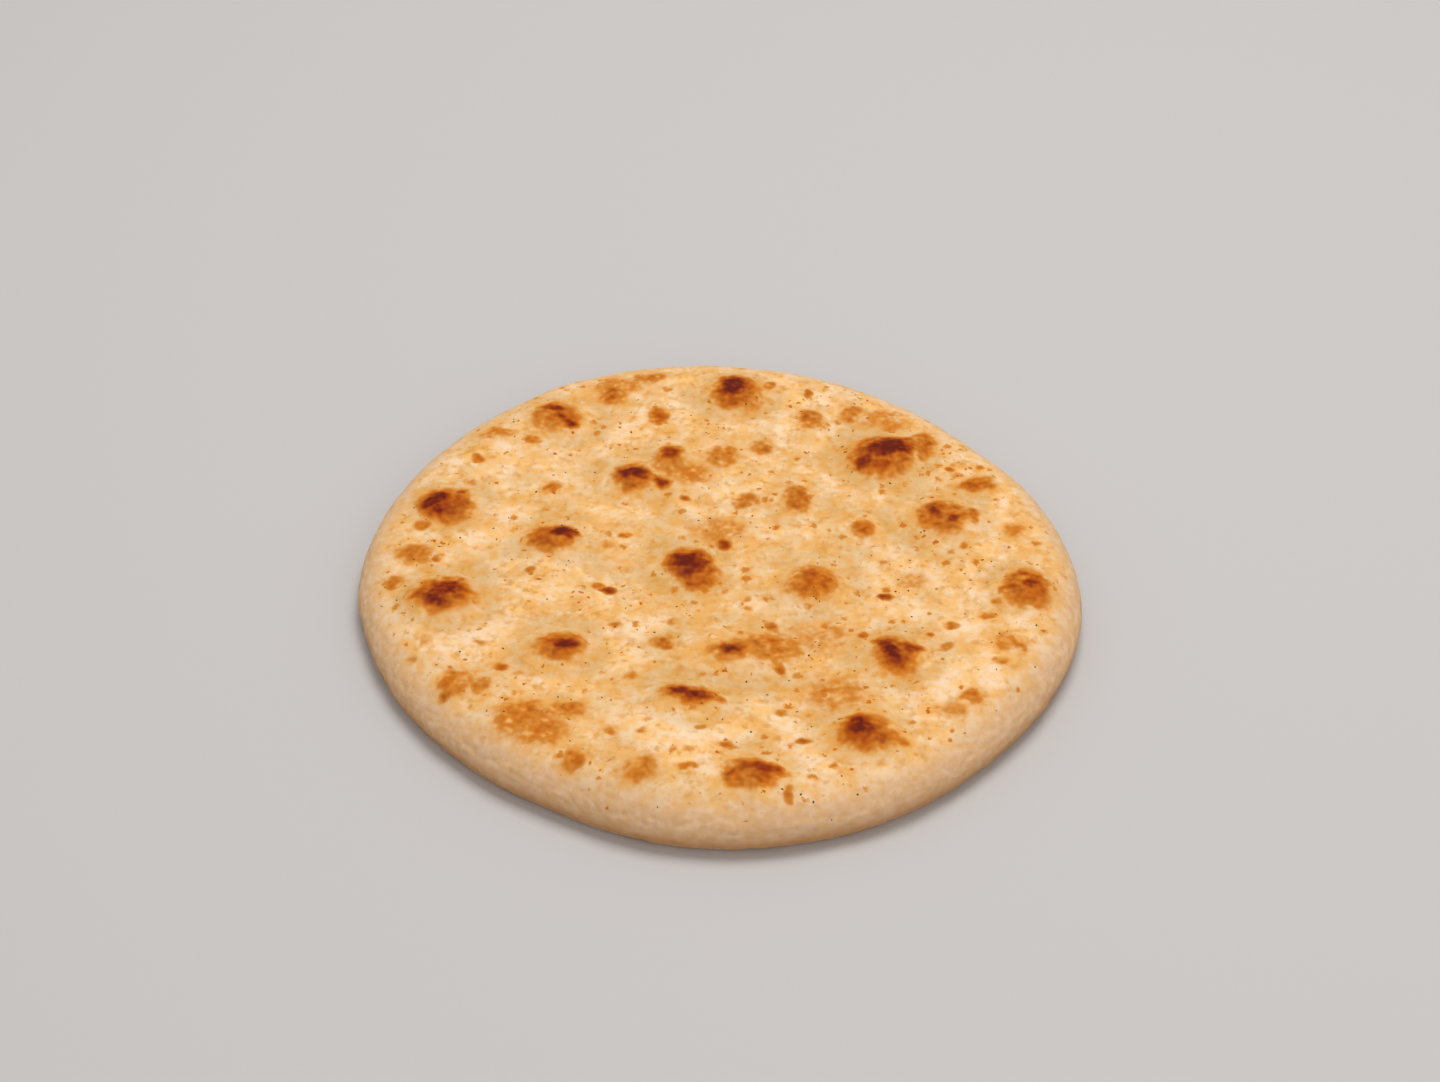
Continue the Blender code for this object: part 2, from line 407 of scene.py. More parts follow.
# %% Places of the char and of the small toasted spots
# Each is (x, y, half its length, half its width, turn in degrees, depth of toast).
CHAR = (
    (48, 49, 7.4, 4.2, 27, 1.00),
    (41, 44, 3.0, 2.4, 80, 0.80),
    (4, 77.5, 5.2, 4.6, 100, 1.00),
    (-79, 26.5, 4.8, 3.0, 38, 1.00),
    (-78, 23, 3.6, 2.0, 90, 0.80),
    (-72, 30.5, 2.6, 1.2, 20, 0.66),
    (-74, -12, 6.6, 4.2, 8, 0.84),
    (-77, -15.5, 4.2, 1.8, -25, 0.98),
    (-72, -9, 2.8, 2.0, 60, 0.74),
    (-9, 0.5, 5.0, 5.6, 0, 0.98),
    (-6, -7, 3.6, 3.0, 40, 0.52),
    (45.5, -36, 5.0, 2.6, -62, 1.00),
    (51, -35.5, 3.4, 2.2, 0, 0.62),
    (37, -65.5, 4.2, 4.4, 25, 0.94),
    (33, -68.5, 3.6, 2.6, -20, 0.52),
    (46, -69.5, 3.0, 2.2, -30, 0.38),
    (-41, -33, 3.8, 2.8, 0, 0.92),
    (-8, -52.5, 6.6, 2.4, -12, 0.96),
    (60, 22, 3.4, 2.2, 100, 0.74),
    (64.5, 18.5, 2.8, 2.0, 20, 0.76),
    (-44, 12, 3.2, 2.5, 0, 0.96),
    (-41, 12, 2.2, 1.2, 0, 0.76),
    (-24, 38.5, 4.2, 2.5, -10, 0.96),
    (25.5, -6, 4.8, 3.8, 60, 0.60),
    (85, -8, 3.6, 2.0, 0, 0.80),
    (12.5, -79.5, 5.2, 2.4, -22, 0.62),
    (6, -84.5, 3.8, 2.8, 0, 0.54),
    (-48, 68.5, 4.4, 1.7, -15, 0.70),
    (-46, 64.5, 2.4, 1.8, 90, 0.76),
    (-43.5, 61.5, 3.2, 1.7, 0, 0.78),
    (2.5, -35, 3.4, 2.6, 0, 0.84),
    (-13, 48.5, 3.8, 2.8, -60, 0.66),
    (-16, 36.5, 2.6, 2.2, 0, 0.62),
    (-31, 74.5, 2.6, 2.0, -30, 0.58),
    (72.5, 34.5, 2.2, 1.2, 0, 0.60),
    (0.5, 10.5, 2.4, 2.0, 0, 0.64),
    (39, 15.5, 1.7, 1.4, 0, 0.60),
    (22, 27, 2.4, 1.6, 100, 0.56),
    (45, -12.5, 2.0, 1.8, 0, 0.68),
    (-33.5, -8.5, 1.9, 1.5, 40, 0.54),
    (-31, -10.5, 2.2, 1.3, 0, 0.66),
    (-57.5, -40, 1.9, 1.4, 0, 0.60),
    (-49.5, -57, 3.0, 2.2, 80, 0.46),
    (-39.5, -57.5, 3.0, 1.6, -10, 0.52),
    (-71, -44, 2.2, 2.0, 0, 0.48),
    (-72, -51, 2.4, 2.0, 60, 0.48),
    (14, -24.5, 2.8, 1.7, -50, 0.50),
    (14, -32, 2.2, 1.6, 30, 0.54),
    (16, -41, 2.4, 1.6, -60, 0.54),
    (28, -50, 2.6, 1.6, 20, 0.42),
    (38.5, -28, 1.8, 1.5, 90, 0.50),
    (61.5, -24, 2.1, 1.9, 0, 0.50),
    (59.5, -33.5, 2.2, 1.9, 0, 0.48),
    (72, -20.5, 2.6, 1.5, 10, 0.50),
    (56, -28, 1.2, 1.0, 0, 0.60),
    (70.5, 20.5, 3.4, 1.4, 105, 0.56),
    (68, 9, 1.3, 1.1, 90, 0.60),
    (77, -10.5, 2.2, 1.6, 40, 0.50),
    (75.5, -14.5, 2.0, 1.5, 0, 0.42),
    (80, -33, 3.0, 1.0, -65, 0.40),
    (74.5, -39.5, 2.2, 1.9, 0, 0.40),
    (57, 56.5, 2.2, 1.7, 0, 0.56),
    (59.5, 52.5, 2.8, 2.0, 90, 0.56),
    (58, 47.5, 2.0, 1.5, 0, 0.48),
    (15, 80.5, 2.6, 1.8, 100, 0.44),
    (26, 77, 2.0, 1.3, 90, 0.52),
    (26, 63, 2.2, 1.8, 0, 0.52),
    (31, 61.5, 1.9, 1.3, 20, 0.38),
    (-54, 55, 2.6, 1.9, 0, 0.50),
    (-68, 46.5, 2.2, 1.8, 0, 0.52),
    (-47, 33.5, 3.4, 2.4, 20, 0.48),
    (-10, 30.5, 2.0, 1.8, 0, 0.60),
    (2, 51, 2.0, 1.6, 30, 0.50),
    (-25.5, 14, 1.9, 1.7, 0, 0.50),
    (-30, 9, 3.2, 2.4, -30, 0.26),
    (-83, 5.5, 2.4, 2.0, 0, 0.46),
    (-77, 4, 1.8, 1.5, 0, 0.42),
    (-82.5, 16.5, 1.8, 1.6, 0, 0.46),
    (-87.5, -5.5, 2.2, 1.8, 0, 0.46),
    (-51, -3, 2.0, 1.6, 90, 0.46),
    (-28.5, -25, 1.7, 1.5, 0, 0.40),
    (-12, -23, 1.9, 1.6, 0, 0.42),
    (-63, -31.5, 2.2, 1.8, 0, 0.32),
    (-79, -30.5, 2.4, 1.6, 90, 0.32),
    (-81.5, -37, 2.4, 1.8, 90, 0.30),
    (-52.5, -43.5, 1.9, 1.3, -30, 0.38),
    (-62, -47, 3.0, 1.9, 60, 0.42),
    (-23, -43.5, 2.4, 1.8, 0, 0.34),
    (-54.5, -75.5, 1.8, 1.5, 0, 0.46),
    (-37, -74.5, 2.5, 1.9, 30, 0.40),
    (-28, -66.5, 2.1, 1.6, 0, 0.36),
    (-19.5, -65.5, 1.8, 1.4, 0, 0.36),
    (-4.5, -64.5, 1.8, 1.3, 20, 0.36),
    (-20, -80, 3.2, 2.0, 20, 0.40),
    (-8, -80, 2.8, 1.7, 0, 0.48),
    (3, -70.5, 2.4, 1.4, 0, 0.46),
    (22, -69, 2.3, 1.1, 15, 0.50),
    (16, -57.5, 2.5, 1.9, 30, 0.40),
    (24.5, -81.5, 1.7, 1.4, 0, 0.48),
    (18.5, -88, 2.2, 1.8, 90, 0.44),
    (7, -13.5, 1.7, 1.4, 0, 0.36),
    (45.5, 2.5, 2.2, 1.6, 0, 0.28),
    (65, 42, 1.4, 1.1, -30, 0.48),
    (67.5, 39.5, 1.6, 1.2, 0, 0.42),
    (67.5, 44.5, 2.4, 1.6, 0, 0.32),
    (74, 43, 1.7, 1.5, 0, 0.40),
)
print(len(AMBER), "patches of amber and", len(CHAR), "darker spots are placed by hand")

# %% [markdown]
# Some marks are no toast. Dry flour stays on as pale streaks where the dough was handled, and in
# a few patches the crust is freckled all over. The pale marks are partly flour and partly painted
# light on swells and on the shoulder. Both kinds are listed in the same way, since they are
# large enough to be told apart.

# %% Places of the floury marks, partly painted light, and the speckled patches
# Each is (x, y, half its length, half its width, turn in degrees, how pale), in millimetres.
FLOUR_AND_LIGHT_PATCHES = (
    (-12, -69, 20, 9, -34, 1.0),
    (-64, -30, 15, 8, 31, 0.9),
    (63, -47, 15, 6, 40, 1.0),
    (-64, 12, 10, 5.5, 0, 0.9),
    (-43, 40, 13, 5, -29, 0.8),
    (64, -21, 12, 6.5, -67, 0.8),
    (22, -76, 10, 5, -10, 0.9),
    (-46, -11, 8, 6, 15, 0.8),
    (77, 22, 9, 4, 80, 0.8),
    (43, -4, 6, 5.5, -20, 0.8),
    (6, 62, 8.5, 4, 5, 0.8),
    (-23, -25, 6.5, 4.5, -74, 0.8),
    (14, 15, 8, 3.5, 0, 0.8),
    (-57, 22, 7, 5, 38, 0.8),
    (-27, 58, 6, 5, -63, 0.8),
    (20, 77, 8, 4, 75, 0.7),
    (-10, 66, 7.5, 3.5, 88, 0.7),
    (-60, 48, 8.5, 3.5, -55, 0.8),
    (54, 4, 7.5, 3.5, 23, 0.8),
    (52, -22, 5.5, 3.5, 65, 0.9),
    (36, -17, 8, 3, 48, 0.9),
    (-25, -38, 6, 3.5, 46, 0.7),
    (-44.5, -0.5, 5.5, 2, -21, 1.0),
    (80, -26, 7, 5, 70, 0.8),
    (-56, 12, 7, 5, 0, 0.8),
    (-47, -47, 8, 4, -20, 0.8),
    (56, -4, 5, 6, 0, 0.6),
    (71, -47, 7, 5, 45, 0.9),
)
# Each is (x, y, radius, how crowded), in millimetres.
SPECKLED_PATCHES = (
    (12.0, -33.0, 24.0, 0.9),
    (68.0, 6.0, 18.0, 0.5),
    (34.0, 72.0, 20.0, 0.8),
    (-58.0, 56.0, 16.0, 0.4),
    (-36.0, -8.0, 20.0, 0.3),
    (68.0, 48.0, 20.0, 0.7),
)
print(len(FLOUR_AND_LIGHT_PATCHES), "floury marks and", len(SPECKLED_PATCHES), "speckled patches")

# %% [markdown]
# No spot is a clean circle, so the dough's own coordinates are bent by soft noise before the
# distance to each spot is measured. The noise starts from a seed, without which it would take
# the clock, and the spots would come out a little different on every run.

# %% Measure from a spot
BEND_SIZES_MM = ((7.0, 1.6), (3.0, 0.75), (1.6, 0.22))
BEND_SEED = 5


def bent_places(places):
    """The places in millimetres, pushed about by noise of three sizes."""
    bent = np.array(places[:, :2])
    for size, reach in BEND_SIZES_MM:
        for index, place in enumerate(places):
            bent[index] += reach * np.array(noise.noise_vector(Vector(place) / size).xy)
    return bent


def eased(value, low, high):
    """0 below low, 1 above high, smooth between; low may be the larger."""
    share = np.clip((value - low) / (high - low), 0.0, 1.0)
    return share * share * (3.0 - 2.0 * share)


def spot_share(bent, x, y, half_length, half_width, turn=0.0):
    """Distance from a spot's middle, 1 at its rim."""
    cosine, sine = math.cos(math.radians(turn)), math.sin(math.radians(turn))
    right, away = bent[:, 0] - x, bent[:, 1] - y
    along, across = right * cosine + away * sine, away * cosine - right * sine
    return np.hypot(along / half_length, across / half_width)


def per_point(mesh, name):
    """What every point of the mesh has under this name, as rows of three numbers."""
    flat = np.empty(len(mesh.vertices) * 3)
    mesh.vertices.foreach_get(name, flat)
    return flat.reshape(-1, 3)


places = per_point(skin.data, "co") / MM
facing = per_point(skin.data, "normal")[:, 2]
noise.seed_set(BEND_SEED)
bent = bent_places(places)
most_bent = float(np.abs(bent - places[:, :2]).max())
print("the bending moves a point by up to", round(most_bent, 1), "mm")

# %% [markdown]
# Amber is flat inside with a soft edge, and char comes on quickly on a crown and fades out. Where
# spots overlap, the deeper toast wins. A second number says where freckles crowd: round the
# blisters, as sparks round a fire, and in the speckled patches.

# %% Add the toast up on the skin
AMBER_EDGE, AMBER_STRENGTH = (0.50, 1.15), 0.66
HALO_TOAST, HALO_EDGE = 0.11, (0.9, 2.1)
CHAR_EDGE, CHAR_STRENGTH = (0.20, 1.8), 0.97
SPOT_LIMIT = 0.60
SPOT_EDGE, SPOT_STRENGTH = (0.20, 1.65), 0.74
CROWD_EDGE, LEAST_CROWD = (1.0, 2.6), 0.36
SPECKLED_EDGE, SPECKLED_SQUASH = (0.3, 1.2), 0.6
TOP_FACING = (0.35, 0.75)


def amber_and_crowd(bent):
    """The toast of the amber patches, and the crowding of freckles round them."""
    toast, crowd = np.zeros(len(bent)), np.zeros(len(bent))
    for x, y, radius, depth, stretch in AMBER:
        longer = math.sqrt(stretch)
        share = spot_share(bent, x, y, radius * longer, radius / longer)
        halo = HALO_TOAST * (1.0 - eased(share, *HALO_EDGE))
        patch = AMBER_STRENGTH * depth * (1.0 - eased(share, *AMBER_EDGE))
        toast = np.maximum(toast, patch + halo)
        crowding = max(depth, LEAST_CROWD) * (1.0 - eased(share, *CROWD_EDGE))
        crowd = np.maximum(crowd, crowding)
    return toast, crowd


def toast_of_chars(bent):
    """The toast of the darker spots: the deepest are chars, and the rest small brown spots."""
    toast = np.zeros(len(bent))
    for x, y, half_length, half_width, turn, depth in CHAR:
        share = spot_share(bent, x, y, half_length, half_width, turn)
        burnt = depth > SPOT_LIMIT
        strength, edge_range = (CHAR_STRENGTH, CHAR_EDGE) if burnt else (SPOT_STRENGTH, SPOT_EDGE)
        toast = np.maximum(toast, strength * depth * (1.0 - eased(share, *edge_range)))
    return toast


def crowd_of_patches(bent):
    """The crowding of freckles in the speckled patches."""
    crowd = np.zeros(len(bent))
    for x, y, radius, crowding in SPECKLED_PATCHES:
        share = spot_share(bent, x, y, radius, radius * SPECKLED_SQUASH)
        crowd = np.maximum(crowd, crowding * (1.0 - eased(share, *SPECKLED_EDGE)))
    return crowd


def store(mesh, name, values):
    """Keeps one number per point under a name that materials can read."""
    layer = mesh.attributes.new(name, "FLOAT", "POINT")
    layer.data.foreach_set("value", values.astype(np.float32))


toast, crowd = amber_and_crowd(bent)
toast = np.maximum(toast, toast_of_chars(bent))
crowd = np.maximum(crowd, crowd_of_patches(bent))
on_top = eased(facing, *TOP_FACING)
store(skin.data, "toast", toast * on_top)
store(skin.data, "crowd", crowd * on_top)
print("toasted share of the top:", round(float((toast[facing > 0.5] > 0.3).mean()), 3))

# %% [markdown]
# Floury places, the side, its foot and the underside each have a finish of their own, so four
# more numbers say where they are. The floury places are partly painted light, and the side and
# its foot partly painted shade. The last three come from the way that a point faces, its
# height, and its distance from the edge, so they would still be right on another outline.

# %% Mark the floury places, the side and the underside
# The pale band round the edge is partly flour and partly painted light on the shoulder.
RIM_FLOUR_AND_LIGHT, RIM_WIDTHS_MM = 0.65, (3.0, 15.0)
FLOUR_AND_LIGHT_EDGE = (0.35, 1.30)
SIDE_WIDTHS_MM = (1.0, 9.0)
# The heel darkens towards the base: partly toast, partly painted shade.
HEEL_HEIGHTS_MM, HEEL_FACING = (0.5, 9.0), (-0.95, -0.2)
UNDER_FACING = (-0.5, -0.95)


def distance_from_edge(places):
    """How far inside the edge each point is, in millimetres."""
    steps = np.arange(-EDGE_STEPS // 2, EDGE_STEPS // 2 + 1)
    reach = np.interp(np.arctan2(places[:, 1], places[:, 0]), steps * 2.0 * math.pi / EDGE_STEPS,
                      np.array(edge)[steps % EDGE_STEPS] / MM)
    return reach - np.hypot(places[:, 0], places[:, 1])


from_edge = distance_from_edge(places)
pale = RIM_FLOUR_AND_LIGHT * (1.0 - eased(from_edge, *RIM_WIDTHS_MM))
for x, y, half_length, half_width, turn, flour in FLOUR_AND_LIGHT_PATCHES:
    share = spot_share(bent, x, y, half_length, half_width, turn)
    pale = np.maximum(pale, flour * (1.0 - eased(share, *FLOUR_AND_LIGHT_EDGE)))
low_down = 1.0 - eased(places[:, 2], *HEEL_HEIGHTS_MM)
store(skin.data, "pale", pale)
store(skin.data, "side", 1.0 - eased(from_edge, *SIDE_WIDTHS_MM))
store(skin.data, "heel", low_down * eased(facing, *HEEL_FACING))
store(skin.data, "under", eased(facing, *UNDER_FACING))
print("floury share of the top:", round(float((pale[facing > 0.5] > 0.3).mean()), 3))

# %% [markdown]
# Baked dough is never smooth. It has lumps the size of a pea, fine wrinkles that are deepest
# where a blister dried out, and pin pricks where gas came through. All of these follow
# the surface by rule, so a tree of geometry nodes makes them. A tree is drawn by hand in the node
# editor or built in a script. A script is easier to read back, once it has short words for its
# commonest nodes, so a small kit of such words comes first.

# %% A small kit for node trees
def new_node(tree, kind, **settings):
    """A node of a kind, with its settings."""
    made = tree.nodes.new(kind)
    for name, value in settings.items():
        setattr(made, name, value)
    return made


def is_socket(value):
    """Whether a value comes out of another node."""
    return isinstance(value, bpy.types.NodeSocket)


def feed(tree, socket, value):
    """Plugs another socket into a socket, or sets it to a plain value."""
    if is_socket(value):
        tree.links.new(value, socket)
    else:
        socket.default_value = value


def maths(tree, operation, *values):
    """A math node, and what comes out of it."""
    made = new_node(tree, "ShaderNodeMath", operation=operation)
    for socket, value in zip(made.inputs, values):
        feed(tree, socket, value)
    return made.outputs[0]


def plus(tree, first, second):
    """The sum of two numbers."""
    return maths(tree, "ADD", first, second)


def minus(tree, first, second):
    """The first number less the second."""
    return maths(tree, "SUBTRACT", first, second)


def times(tree, first, second):
    """The product of two numbers."""
    return maths(tree, "MULTIPLY", first, second)


def over(tree, first, second):
    """The first number divided by the second."""
    return maths(tree, "DIVIDE", first, second)


def larger(tree, first, second):
    """The larger of two numbers."""
    return maths(tree, "MAXIMUM", first, second)


def scaled(tree, vector, factor):
    """A vector made longer or shorter."""
    made = new_node(tree, "ShaderNodeVectorMath", operation="SCALE")
    feed(tree, made.inputs[0], vector)
    feed(tree, made.inputs["Scale"], factor)
    return made.outputs["Vector"]


def upward(tree, vector):
    """The upward part of a vector."""
    made = new_node(tree, "ShaderNodeSeparateXYZ")
    feed(tree, made.inputs[0], vector)
    return made.outputs["Z"]


print("the kit has words for plain nodes")

# %% [markdown]
# Two textures do most of the work here and in the paint. Noise gives soft lumps, and a Voronoi
# texture cuts space into cells with one point each. That way every number in a tree is a length
# on the bread.

# %% Textures and ranges for both kinds of tree
def grain(tree, place, size, detail=2.0, roughness=0.5):
    """Noise about 0.5, whose lumps are about size wide."""
    made = new_node(tree, "ShaderNodeTexNoise")
    feed(tree, made.inputs["Vector"], place)
    feed(tree, made.inputs["Scale"], over(tree, 1.0, size) if is_socket(size) else 1.0 / size)
    made.inputs["Detail"].default_value = detail
    made.inputs["Roughness"].default_value = roughness
    return made.outputs["Fac"]


def cells_of(tree, place, size):
    """Cells about size wide, each with a point and a random colour of its own."""
    made = new_node(tree, "ShaderNodeTexVoronoi", feature="F1")
    feed(tree, made.inputs["Vector"], place)
    feed(tree, made.inputs["Scale"], over(tree, 1.0, size) if is_socket(size) else 1.0 / size)
    return made


def spread(tree, value, low, high, to_low=0.0, to_high=1.0):
    """Stretches a range of values smoothly to another one."""
    made = new_node(tree, "ShaderNodeMapRange", interpolation_type="SMOOTHSTEP")
    for name, number in (("Value", value), ("From Min", low), ("From Max", high),
                         ("To Min", to_low), ("To Max", to_high)):
        feed(tree, made.inputs[name], number)
    return made.outputs["Result"]


def swing(tree, noise_value, reach):
    """Noise turned into a push up or down, of about this reach."""
    return times(tree, minus(tree, noise_value, 0.5), reach)


print("the kit has words for noise, cells and ranges")

# %% [markdown]
# A geometry tree gets its sizes as inputs with names, which can be turned like knobs in the
# modifier panel. It has to end in plain geometry with a material on it, because other programs
# know nothing of instances. Its result is kept as a plain mesh, and the modifier goes away.

# %% Start, end and run a geometry tree
def geometry_tree(name, sizes):
    """An empty geometry tree with its way in and way out, and the values of its named inputs."""
    tree = bpy.data.node_groups.new(name, "GeometryNodeTree")
    tree.interface.new_socket(name="Geometry", in_out="INPUT", socket_type="NodeSocketGeometry")
    tree.interface.new_socket(name="Geometry", in_out="OUTPUT", socket_type="NodeSocketGeometry")
    values = {}
    for label, size in sizes.items():
        socket = tree.interface.new_socket(name=label, in_out="INPUT",
                                           socket_type="NodeSocketFloat")
        socket.default_value = size
        values[socket.identifier] = size
    return tree, tree.nodes.new("NodeGroupInput").outputs, values


def end_tree(tree, geometry, material):
    """Makes instances real, gives them a material, and sends them out of the tree."""
    realized = tree.nodes.new("GeometryNodeRealizeInstances")
    feed(tree, realized.inputs["Geometry"], geometry)
    painted = tree.nodes.new("GeometryNodeSetMaterial")
    feed(tree, painted.inputs["Geometry"], realized.outputs["Geometry"])
    painted.inputs["Material"].default_value = material
    outlet = tree.nodes.new("NodeGroupOutput")
    feed(tree, outlet.inputs["Geometry"], painted.outputs["Geometry"])


def number_on_skin(tree, name):
    """Reads one of the skin's own numbers in a geometry tree."""
    made = new_node(tree, "GeometryNodeInputNamedAttribute", data_type="FLOAT")
    made.inputs["Name"].default_value = name
    return made.outputs["Attribute"]


def run_tree(thing, tree, values):
    """Puts a tree on an object, sets its inputs, and keeps the result as a plain mesh."""
    modifier = thing.modifiers.new(tree.name, "NODES")
    modifier.node_group = tree
    for identifier, value in values.items():
        modifier[identifier] = value
    bpy.context.view_layer.update()
    evaluated = thing.evaluated_get(bpy.context.evaluated_depsgraph_get())
    mesh = bpy.data.meshes.new_from_object(evaluated)
    thing.modifiers.remove(modifier)
    return mesh


print("the kit can run a geometry tree")

# %% [markdown]
# The dough sinks slightly round the foot of each blister. A point's height less the average
# height round it says how far it lies in a hollow, so the hollows are found by blurring rather
# than drawn. The paint darkens these hollows and the steep slopes as painted shade, and how
# much shade each point gets is kept as one more number on the skin.

# %% Find the hollows and the painted shade
# Hollows and steep slopes get painted shade; these two numbers say where it is full.
EVENING_ROUNDS, HOLLOW_ROUNDS = 8, 26
HOLLOW_FULL = 0.14 * MM
STEEP_FULL = 0.055


def blurred(tree, value, rounds):
    """A number per point, evened out with its neighbours' a few times."""
    made = new_node(tree, "GeometryNodeBlurAttribute", data_type="FLOAT")
    feed(tree, made.inputs["Value"], value)
    made.inputs["Iterations"].default_value = rounds
    return made.outputs["Value"]


def depth_of_hollow(tree, place):
    """How far each point of the top lies below what is round it."""
    evened = blurred(tree, upward(tree, place), EVENING_ROUNDS)
    sunk = minus(tree, blurred(tree, evened, HOLLOW_ROUNDS), evened)
    off_side = minus(tree, 1.0, number_on_skin(tree, "side"))
    return larger(tree, times(tree, sunk, off_side), 0.0)


def painted_shade(tree, normal, hollow):
    """How much painted shade each point gets, from 0 to 1: in hollows and on slopes, not where
    floury.
    """
    level = blurred(tree, upward(tree, normal), EVENING_ROUNDS)
    steep = over(tree, minus(tree, 1.0, level), STEEP_FULL)
    bare = minus(tree, 1.0, number_on_skin(tree, "pale"))
    steep = times(tree, times(tree, steep, bare), bare)
    return maths(tree, "MINIMUM", larger(tree, steep, over(tree, hollow, HOLLOW_FULL)), 1.0)


# Damp here means painted shade.
print("a hollow is fully damp when it is", round(HOLLOW_FULL / MM, 2), "mm deep")

# %% [markdown]
# Now the relief itself. Lumps run all over, and wrinkles cover the top and deepen with the
# toast. Each pore is a prick in the middle of its own cell. The side has long level creases,
# left where the edge was stretched by hand. The underside was pressed flat, so its relief may
# only go inwards.

# %% Relief of the crust
LUMP_SIZE, LUMP_HEIGHT = 6.5 * MM, 0.26 * MM
WRINKLE_SIZE, WRINKLE_HEIGHT = 2.4 * MM, 0.42 * MM
LEAST_WRINKLE = 0.36
RIPPLE_DETAIL = 3.0
PORE_SIZE, PORE_DEPTH = 3.6 * MM, 0.22 * MM
PORE_EDGE = (0.30, 0.05)
CREASE_SIZE, CREASE_DEPTH = 9.0 * MM, 0.30 * MM
CREASE_STRETCH = (1.0, 1.0, 4.0)
CREASE_SHARPNESS = 14.0
HOLLOW_GAIN = 1.4
UNDER_RELIEF = 0.6
baked_crust = bpy.data.materials.new("baked_crust")


def ripples(tree, place, size, height):
    """Soft ups and downs of one size."""
    centred = minus(tree, grain(tree, place, size, RIPPLE_DETAIL), 0.5)
    return times(tree, times(tree, centred, 2.0), height)


def pores(tree, place, size, depth):
    """Pin pricks, deepest in the middle."""
    near = spread(tree, cells_of(tree, place, size).outputs["Distance"], *PORE_EDGE)
    return times(tree, near, depth)


def creases(tree, place, size, depth):
    """Long level creases, which follow the lines where stretched noise is at its middle."""
    stretched = new_node(tree, "ShaderNodeVectorMath", operation="MULTIPLY")
    feed(tree, stretched.inputs[0], place)
    stretched.inputs[1].default_value = CREASE_STRETCH
    off_line = maths(tree, "ABSOLUTE", minus(tree, grain(tree, stretched.outputs[0], size), 0.5))
    fold = minus(tree, 1.0, times(tree, off_line, CREASE_SHARPNESS))
    return times(tree, larger(tree, fold, 0.0), depth)


def relief_height(tree, place, inlet, hollow):
    """How far each point of the skin is pushed out."""
    side = number_on_skin(tree, "side")
    pebbly = times(tree, minus(tree, 1.0, side), LEAST_WRINKLE)
    wrinkled = larger(tree, number_on_skin(tree, "toast"), pebbly)
    lumps = ripples(tree, place, inlet["Lump size"], inlet["Lump height"])
    wrinkles = ripples(tree, place, inlet["Wrinkle size"], inlet["Wrinkle height"])
    raised = plus(tree, lumps, times(tree, wrinkles, wrinkled))
    raised = minus(tree, raised, pores(tree, place, inlet["Pore size"], inlet["Pore depth"]))
    folds = creases(tree, place, inlet["Crease size"], inlet["Crease depth"])
    raised = minus(tree, raised, times(tree, folds, side))
    raised = minus(tree, raised, times(tree, hollow, inlet["Hollow gain"]))
    mixed = new_node(tree, "ShaderNodeMix", data_type="FLOAT")
    feed(tree, mixed.inputs["Factor"], number_on_skin(tree, "under"))
    feed(tree, mixed.inputs["A"], raised)
    feed(tree, mixed.inputs["B"], times(tree, maths(tree, "ABSOLUTE", raised), -UNDER_RELIEF))
    return mixed.outputs["Result"]


def relief_tree():
    """Pushes every point of the skin along its normal, and keeps how much painted shade it gets.
    """
    tree, inlet, values = geometry_tree("crust_relief", {
        "Lump size": LUMP_SIZE, "Lump height": LUMP_HEIGHT,
        "Wrinkle size": WRINKLE_SIZE, "Wrinkle height": WRINKLE_HEIGHT,
        "Pore size": PORE_SIZE, "Pore depth": PORE_DEPTH,
        "Crease size": CREASE_SIZE, "Crease depth": CREASE_DEPTH,
        "Hollow gain": HOLLOW_GAIN})
    place = tree.nodes.new("GeometryNodeInputPosition").outputs["Position"]
    normal = tree.nodes.new("GeometryNodeInputNormal").outputs["Normal"]
    hollow = depth_of_hollow(tree, place)
    # The amount of painted shade is stored on the skin for the paint.
    kept = new_node(tree, "GeometryNodeStoreNamedAttribute", data_type="FLOAT", domain="POINT")
    kept.inputs["Name"].default_value = "shaded"
    feed(tree, kept.inputs["Geometry"], inlet["Geometry"])
    feed(tree, kept.inputs["Value"], painted_shade(tree, normal, hollow))
    moved = tree.nodes.new("GeometryNodeSetPosition")
    feed(tree, moved.inputs["Geometry"], kept.outputs["Geometry"])
    push = scaled(tree, normal, relief_height(tree, place, inlet, hollow))
    feed(tree, moved.inputs["Offset"], push)
    end_tree(tree, moved.outputs["Geometry"], baked_crust)
    return tree, values


def keep_above_floor(mesh):
    """Lifts any point of the underside that sank below the floor."""
    for vertex in mesh.vertices:
        vertex.co.z = max(vertex.co.z, 0.0)


finished = run_tree(skin, *relief_tree())
keep_above_floor(finished)
finished.shade_smooth()
skin.data = finished
skin.data.name = "roti_skin"
print("the finished skin has", len(skin.data.vertices), "points")
